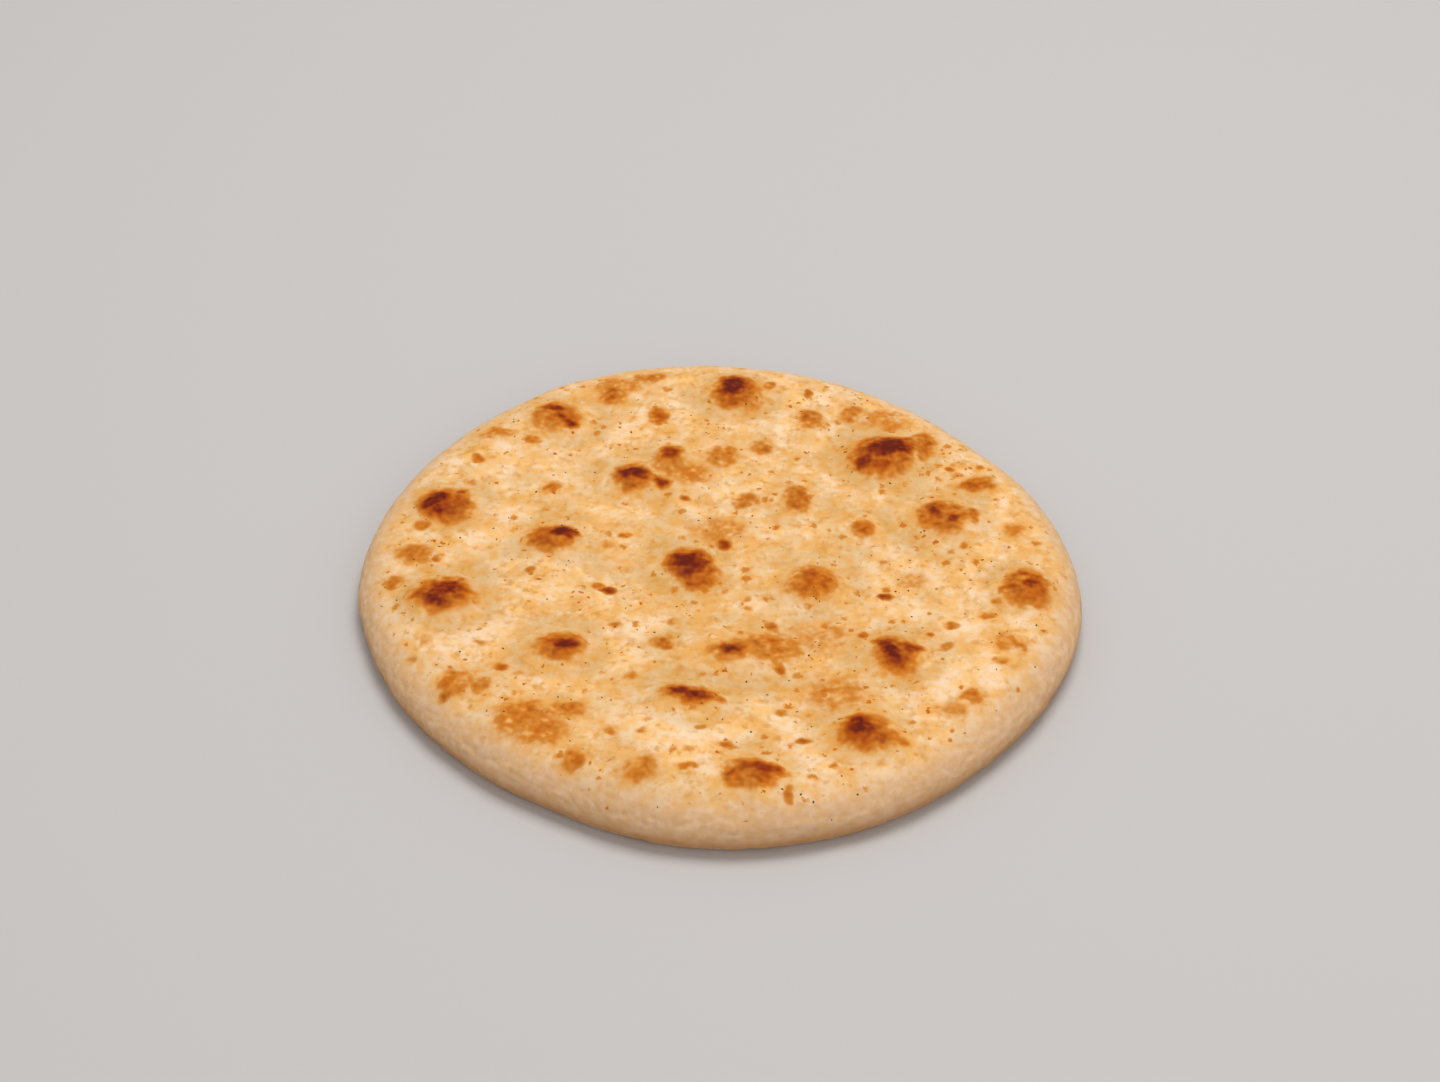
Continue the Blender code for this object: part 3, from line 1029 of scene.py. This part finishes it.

# %% [markdown]
# The crust's colour comes from what the oven did to it. Untouched dough is cream, cloudy with
# flour and golden where it began to brown. More heat takes it through gold, amber and red-brown
# to maroon. The material reads the toast from the skin, breaks its edge up with soft noise, and
# looks the colour up on a ramp, which is the way a baker would read it too. The ramp's darkest
# colours are lifted a little by a painted sheen.

# %% Colours of the crust
CREAM = (0.835, 0.485, 0.196, 1.0)
FLOURED = (0.930, 0.612, 0.322, 1.0)
GOLDEN = (0.728, 0.368, 0.105, 1.0)
# The next colour is painted shade, for the hollows and the steep slopes.
SHADED_DOUGH = (0.630, 0.355, 0.120, 1.0)
PALE_DOUGH = (0.930, 0.612, 0.330, 1.0)
# The side's two colours are partly the dough's own and partly painted shade, darker than the top.
SHADED_SIDE_DOUGH = (0.724, 0.446, 0.236, 1.0)
SHADED_SIDE_CHALK = (0.772, 0.488, 0.274, 1.0)
# The heel colour is partly toast and partly painted shade at the base.
HEEL_TOAST_AND_SHADE = (0.430, 0.190, 0.062, 1.0)
UNDER_DOUGH = (0.720, 0.400, 0.150, 1.0)
UNDER_FLOUR = (0.860, 0.590, 0.340, 1.0)
# The darkest stops are lifted a little by a painted sheen on the char.
TOAST_AND_SHEEN_RAMP = (
    (0.00, (0.790, 0.430, 0.140, 1.0)),
    (0.12, (0.720, 0.325, 0.070, 1.0)),
    (0.24, (0.640, 0.232, 0.033, 1.0)),
    (0.36, (0.550, 0.158, 0.014, 1.0)),
    (0.50, (0.415, 0.086, 0.006, 1.0)),
    (0.65, (0.292, 0.043, 0.005, 1.0)),
    (0.80, (0.205, 0.025, 0.006, 1.0)),
    (0.95, (0.135, 0.015, 0.006, 1.0)),
)


def mixed_colour(tree, factor, first, second, blend="MIX"):
    """A colour between two by a factor, or the first one blended with the second."""
    made = new_node(tree, "ShaderNodeMix", data_type="RGBA", blend_type=blend)
    colours = [socket for socket in made.inputs if socket.type == "RGBA"]
    feed(tree, made.inputs["Factor"], factor)
    feed(tree, colours[0], first)
    feed(tree, colours[1], second)
    return next(socket for socket in made.outputs if socket.type == "RGBA")


def stored(tree, name):
    """Reads one of the skin's own numbers in a material."""
    return new_node(tree, "ShaderNodeAttribute", attribute_name=name).outputs["Fac"]


print("the ramp of toast has", len(TOAST_AND_SHEEN_RAMP), "colours")

# %% [markdown]
# Dough is painted in layers. Cream comes first, with flour in clouds over it, gold in mottles,
# and then the floury places, which are partly painted light, painted shade in the hollows and on
# slopes, the chalky side and the darker heel, which are both partly painted shade, and the dusted
# underside. Each layer is a colour and a share, laid over what is there. The noise is made once
# and shared, because in real dough one grain shows in everything.

# %% The untouched dough
HAZE_SIZE, CLOUD_SIZE = 22.0 * MM, 7.0 * MM
MOTTLE_SIZE, BLOTCH_SIZE = 3.4 * MM, 1.6 * MM
HAZE_REACH, BLOTCH_REACH, CLOUD_REACH = 0.3, 0.6, 0.3
FLOUR_RANGE = (0.44, 0.68)
GOLDEN_RANGE = (0.44, 0.82)
PALE_RANGE = (0.85, 0.45)
# The next share sets how strongly the painted shade of hollows and slopes is laid on.
SHADE_SHARE = 0.54
CHALK_SIZE, CHALK_RANGE = 2.4 * MM, (0.40, 0.66)
DUSTED_RANGE = (0.40, 0.64)


def clouds_and_mottles(tree, place):
    """The noise that several layers share."""
    haze = swing(tree, grain(tree, place, HAZE_SIZE, 1.0), HAZE_REACH)
    return plus(tree, grain(tree, place, CLOUD_SIZE, 3.0), haze), grain(tree, place, MOTTLE_SIZE)


def untouched_dough(tree, place, cloud, mottle):
    """The colour of the dough without its toast."""
    blotch = grain(tree, place, BLOTCH_SIZE, 1.0)
    golden = plus(tree, mottle, swing(tree, blotch, BLOTCH_REACH))
    golden = minus(tree, golden, swing(tree, cloud, CLOUD_REACH))
    chalk = spread(tree, grain(tree, place, CHALK_SIZE), *CHALK_RANGE)
    flour_below = spread(tree, cloud, *DUSTED_RANGE)
    dough = mixed_colour(tree, spread(tree, cloud, *FLOUR_RANGE), CREAM, FLOURED)
    for share, colour in (
            (spread(tree, golden, *GOLDEN_RANGE), GOLDEN),
            # Paler floury places, partly painted light.
            (times(tree, stored(tree, "pale"), spread(tree, golden, *PALE_RANGE)), PALE_DOUGH),
            # Painted shade in the hollows and on the steep slopes.
            (times(tree, stored(tree, "shaded"), SHADE_SHARE), SHADED_DOUGH),
            # The side, partly painted shade.
            (stored(tree, "side"), mixed_colour(tree, chalk, SHADED_SIDE_DOUGH, SHADED_SIDE_CHALK)),
            # The heel, darker towards the base: partly toast, partly painted shade.
            (stored(tree, "heel"), HEEL_TOAST_AND_SHADE),
            (stored(tree, "under"), mixed_colour(tree, flour_below, UNDER_DOUGH, UNDER_FLOUR))):
        dough = mixed_colour(tree, share, dough, colour)
    return dough


print("the clouds of flour are about", round(CLOUD_SIZE / MM, 1), "mm wide")

# %% [markdown]
# Freckles are small spots with a size and a depth of their own, far too many to place by hand.
# The distance to the middle of a Voronoi cell draws a round spot, and the cell's random colour
# says whether this cell has one, how wide it is and how dark. It works on the whole top and costs
# no mesh at all. The places are pushed about a little first, so that no freckle is a true circle.

# %% Freckles
FRECKLES = (
    # spacing, smallest and widest radius in mm, share of cells, depths of toast
    (3.8, 0.6, 1.7, 0.48, 0.08, 0.28),
    (2.3, 0.35, 0.75, 0.20, 0.10, 0.42),
)
FRECKLE_EDGE = (-0.45, 0.75)
WOBBLE_SIZE, WOBBLE_REACH = 1.3 * MM, 2.0 * MM
CROWD_GAIN, CROWD_LEAST = 2.4, 0.75


def freckles(tree, place, crowding, kind):
    """Toast of one kind of freckle."""
    spacing, smallest, widest, share, palest, darkest = kind
    cells = cells_of(tree, place, spacing * MM)
    chance = new_node(tree, "ShaderNodeSeparateColor")
    feed(tree, chance.inputs["Color"], cells.outputs["Color"])
    chosen, width, darkness = (chance.outputs[name] for name in ("Red", "Green", "Blue"))
    taken = maths(tree, "LESS_THAN", chosen, times(tree, crowding, share))
    radius = spread(tree, width, 0.0, 1.0, smallest / spacing, widest / spacing)
    depth = spread(tree, darkness, 0.0, 1.0, palest, darkest)
    nearness = minus(tree, 1.0, over(tree, cells.outputs["Distance"], radius))
    return times(tree, times(tree, spread(tree, nearness, *FRECKLE_EDGE), depth), taken)


def wobbled(tree, place):
    """The places, pushed about a little."""
    wobble = grain(tree, place, WOBBLE_SIZE, 1.0).node
    made = new_node(tree, "ShaderNodeVectorMath", operation="ADD")
    feed(tree, made.inputs[0], place)
    feed(tree, made.inputs[1], scaled(tree, wobble.outputs["Color"], WOBBLE_REACH))
    return made.outputs["Vector"]


def all_freckles(tree, place):
    """The toast of all kinds of freckle, which crowd near the blisters and shun the side."""
    crowding = plus(tree, times(tree, stored(tree, "crowd"), CROWD_GAIN), CROWD_LEAST)
    crowding = times(tree, crowding, minus(tree, 1.0, stored(tree, "side")))
    bent_place = wobbled(tree, place)
    first, second = (freckles(tree, bent_place, crowding, kind) for kind in FRECKLES)
    return larger(tree, first, second)


print("there are", len(FRECKLES), "kinds of freckle")

# %% [markdown]
# The toast on the skin is smooth, and a real patch is ragged, as if torn. So noise of three sizes
# is added to it, only where there is some toast already, and its deepest parts are streaked with
# scorch. The underside lay on hot clay, which left broad patches, and singed the foot of the
# side here and there.

# %% Depth of the toast
LOBE_SIZE, SCORCH_SIZE = 3.0 * MM, 1.5 * MM
MOTTLED_EDGE, LOBED_EDGE, SCORCHED_EDGE = 0.28, 0.42, 0.22
RAGGED_RANGE = (0.03, 0.34)
SCORCH_REACH, SCORCH_RANGE = 0.30, (0.45, 0.75)
CONTACT_SIZE, CONTACT_LOBES = 15.0 * MM, 0.25
CONTACT_TOAST = (0.50, 0.80, 0.0, 0.50)
SINGE_SIZE, SINGE_TOAST = 7.0 * MM, (0.54, 0.72, 0.0, 0.55)
FOOT_RANGE = (0.55, 0.95)


def ragged_toast(tree, mottle, lobe, scorch):
    """The toast of the spots, with torn edges."""
    toast = stored(tree, "toast")
    edges = plus(tree, swing(tree, mottle, MOTTLED_EDGE), swing(tree, lobe, LOBED_EDGE))
    edges = plus(tree, edges, swing(tree, scorch, SCORCHED_EDGE))
    ragged = times(tree, edges, spread(tree, toast, *RAGGED_RANGE))
    streaks = times(tree, swing(tree, scorch, SCORCH_REACH), spread(tree, toast, *SCORCH_RANGE))
    return plus(tree, toast, plus(tree, ragged, streaks))


def toast_below(tree, place, lobe):
    """Toast of the underside and of the foot of the side."""
    contact = plus(tree, grain(tree, place, CONTACT_SIZE), swing(tree, lobe, CONTACT_LOBES))
    patches = times(tree, spread(tree, contact, *CONTACT_TOAST), stored(tree, "under"))
    singed = spread(tree, grain(tree, place, SINGE_SIZE), *SINGE_TOAST)
    foot = spread(tree, stored(tree, "heel"), *FOOT_RANGE)
    return larger(tree, patches, times(tree, singed, foot))


def depth_of_toast(tree, place, mottle):
    """The depth of all toast: spots, freckles and what lies below."""
    lobe = grain(tree, place, LOBE_SIZE, 0.5)
    depth = ragged_toast(tree, mottle, lobe, grain(tree, place, SCORCH_SIZE, 0.0))
    depth = larger(tree, depth, toast_below(tree, place, lobe))
    return larger(tree, depth, all_freckles(tree, place))


print("the patches underneath are about", round(CONTACT_SIZE / MM, 1), "mm wide")

# %% [markdown]
# Last the layers come together. The ramp's colour is laid over the dough where there is toast. A
# broad tint from buttery to chalky runs through it, as no oven heats evenly. Bread is matt and a
# little see-through: light goes in, turns warm and comes out again near by, which subsurface
# scattering gives. The finest grain is only a bump, since a mesh fine enough for it would be huge.

# %% Paint the crust
BUTTERY_TINT = (1.0, 0.90, 0.66, 1.0)
CHALKY_TINT = (1.0, 1.10, 1.34, 1.0)
NO_TINT = (1.0, 1.0, 1.0, 1.0)
BUTTER_SIZE, BUTTER_RANGE = 6.0 * MM, (0.25, 0.75)
CURD_SIZE, CURD_REACH = 2.4 * MM, 0.9
UNTINTED_SIDE = 0.75
TOASTED_RANGE = (0.03, 0.24)
CRUST_ROUGHNESS = (0.2, 0.8, 0.78, 0.55)
CRUST_SHINE = 0.04
CRUST_SCATTER, SCATTER_DEPTH = 0.20, 1.6 * MM
SCATTER_COLOUR = (1.0, 0.40, 0.15)
BUMP_SIZE, BUMP_ROUGHNESS = 0.8 * MM, 0.6
BUMP_STRENGTH, BUMP_HEIGHT = 0.30, 0.25 * MM


def toast_colour(tree, depth):
    """Looks a depth of toast up on the ramp."""
    ramp = new_node(tree, "ShaderNodeValToRGB")
    while len(ramp.color_ramp.elements) < len(TOAST_AND_SHEEN_RAMP):
        ramp.color_ramp.elements.new(0.5)
    for stop, (position, colour) in zip(ramp.color_ramp.elements, TOAST_AND_SHEEN_RAMP):
        stop.position = position
        stop.color = colour
    feed(tree, ramp.inputs["Fac"], depth)
    return ramp.outputs["Color"]


def butter_tint(tree, place):
    """A tint that wanders from buttery to chalky, and is fainter on the side."""
    curd = swing(tree, grain(tree, place, CURD_SIZE, 1.0), CURD_REACH)
    butter = plus(tree, grain(tree, place, BUTTER_SIZE, 1.0), curd)
    tint = mixed_colour(tree, spread(tree, butter, *BUTTER_RANGE), BUTTERY_TINT, CHALKY_TINT)
    return mixed_colour(tree, times(tree, stored(tree, "side"), UNTINTED_SIDE), tint, NO_TINT)


def set_feel(tree, shader, place):
    """What the crust is like apart from its colour: shine, scattering and the finest grain."""
    shader.inputs["Specular IOR Level"].default_value = CRUST_SHINE
    shader.inputs["Subsurface Weight"].default_value = CRUST_SCATTER
    shader.inputs["Subsurface Radius"].default_value = SCATTER_COLOUR
    shader.inputs["Subsurface Scale"].default_value = SCATTER_DEPTH
    bump = new_node(tree, "ShaderNodeBump")
    bump.inputs["Strength"].default_value = BUMP_STRENGTH
    bump.inputs["Distance"].default_value = BUMP_HEIGHT
    feed(tree, bump.inputs["Height"], grain(tree, place, BUMP_SIZE, 2.0, BUMP_ROUGHNESS))
    feed(tree, shader.inputs["Normal"], bump.outputs["Normal"])


def paint_crust(material):
    """Builds the nodes of the baked crust."""
    material.use_nodes = True
    tree = material.node_tree
    shader = tree.nodes["Principled BSDF"]
    place = tree.nodes.new("ShaderNodeTexCoord").outputs["Object"]
    cloud, mottle = clouds_and_mottles(tree, place)
    dough = untouched_dough(tree, place, cloud, mottle)
    depth = depth_of_toast(tree, place, mottle)
    toasted = spread(tree, depth, *TOASTED_RANGE)
    crust = mixed_colour(tree, toasted, dough, toast_colour(tree, depth))
    crust = mixed_colour(tree, 1.0, crust, butter_tint(tree, place), "MULTIPLY")
    feed(tree, shader.inputs["Base Color"], crust)
    feed(tree, shader.inputs["Roughness"], spread(tree, depth, *CRUST_ROUGHNESS))
    set_feel(tree, shader, place)


paint_crust(baked_crust)
print("the crust has", len(baked_crust.node_tree.nodes), "nodes")

# %% [markdown]
# Wholemeal flour leaves flecks of bran in the dough, which burn to dark specks. They are no wider
# than a grain of sand, but they are real things that stick out of the crust. Geometry nodes
# strew them: points on the skin, a tiny flat grain on each, turned to lie along the surface.

# %% Bran flecks
FLECK_DENSITY = 15000.0
FLECK_SIZE = 0.27 * MM
FLECK_SEED = 3
FLECK_PATCH_SIZE, FLECK_PATCHES = 16.0 * MM, (0.42, 0.62)
SIDE_SHARE = 0.03
MOST_TILT = (0.3, 0.3, 6.28)
SMALLEST_FLECK, LARGEST_FLECK = (0.6, 0.5, 0.35), (1.9, 1.3, 0.6)
BRAN_COLOUR, BRAN_ROUGHNESS = (0.140, 0.078, 0.022, 1.0), 0.9
bran = plain_material("burnt_bran", BRAN_COLOUR, BRAN_ROUGHNESS)
bran.node_tree.nodes["Principled BSDF"].inputs["Specular IOR Level"].default_value = 0.0


def how_often(tree):
    """Where flecks lie, from 0 to 1: in patches on the top, hardly any on the side."""
    place = tree.nodes.new("GeometryNodeInputPosition").outputs["Position"]
    crowded = new_node(tree, "ShaderNodeMapRange")
    feed(tree, crowded.inputs["Value"], grain(tree, place, FLECK_PATCH_SIZE, 1.0))
    crowded.inputs["From Min"].default_value = FLECK_PATCHES[0]
    crowded.inputs["From Max"].default_value = FLECK_PATCHES[1]
    on_top = larger(tree, minus(tree, 1.0, number_on_skin(tree, "side")), SIDE_SHARE)
    on_top = times(tree, on_top, minus(tree, 1.0, number_on_skin(tree, "under")))
    return times(tree, crowded.outputs["Result"], on_top)


def random_vector(tree, least, most, seed):
    """A random vector for each point, between two others."""
    made = new_node(tree, "FunctionNodeRandomValue", data_type="FLOAT_VECTOR")
    for name, value in (("Min", least), ("Max", most), ("Seed", seed)):
        made.inputs[name].default_value = value
    return made.outputs["Value"]


def lying_flat(tree, rotation):
    """The turn of each fleck: along the skin, tilted a little and spun at random."""
    angles = random_vector(tree, (0.0, 0.0, 0.0), MOST_TILT, FLECK_SEED + 1)
    spin = new_node(tree, "FunctionNodeEulerToRotation")
    feed(tree, spin.inputs["Euler"], angles)
    turned = new_node(tree, "FunctionNodeRotateRotation", rotation_space="LOCAL")
    feed(tree, turned.inputs["Rotation"], rotation)
    feed(tree, turned.inputs["Rotate By"], spin.outputs["Rotation"])
    return turned.outputs["Rotation"]


def fleck_tree():
    """Strews small flat grains over the toasted side of the skin."""
    tree, inlet, values = geometry_tree("bran_flecks", {
        "Flecks per square metre": FLECK_DENSITY, "Fleck size": FLECK_SIZE})
    scatter = new_node(tree, "GeometryNodeDistributePointsOnFaces", distribute_method="RANDOM")
    feed(tree, scatter.inputs["Mesh"], inlet["Geometry"])
    density = times(tree, how_often(tree), inlet["Flecks per square metre"])
    feed(tree, scatter.inputs["Density"], density)
    scatter.inputs["Seed"].default_value = FLECK_SEED
    fleck = new_node(tree, "GeometryNodeMeshIcoSphere")
    feed(tree, fleck.inputs["Radius"], inlet["Fleck size"])
    fleck.inputs["Subdivisions"].default_value = 1
    strewn = new_node(tree, "GeometryNodeInstanceOnPoints")
    feed(tree, strewn.inputs["Points"], scatter.outputs["Points"])
    feed(tree, strewn.inputs["Instance"], fleck.outputs["Mesh"])
    feed(tree, strewn.inputs["Rotation"], lying_flat(tree, scatter.outputs["Rotation"]))
    sizes = random_vector(tree, SMALLEST_FLECK, LARGEST_FLECK, FLECK_SEED + 2)
    feed(tree, strewn.inputs["Scale"], sizes)
    end_tree(tree, strewn.outputs["Instances"], bran)
    return tree, values


flecks = bpy.data.objects.new("bran_flecks", run_tree(skin, *fleck_tree()))
bpy.context.scene.collection.objects.link(flecks)
print("the bran has", len(flecks.data.polygons), "faces")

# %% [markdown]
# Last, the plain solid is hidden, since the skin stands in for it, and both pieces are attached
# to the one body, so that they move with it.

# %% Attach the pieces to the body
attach(skin, "root")
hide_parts("roti")
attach(flecks, "root")
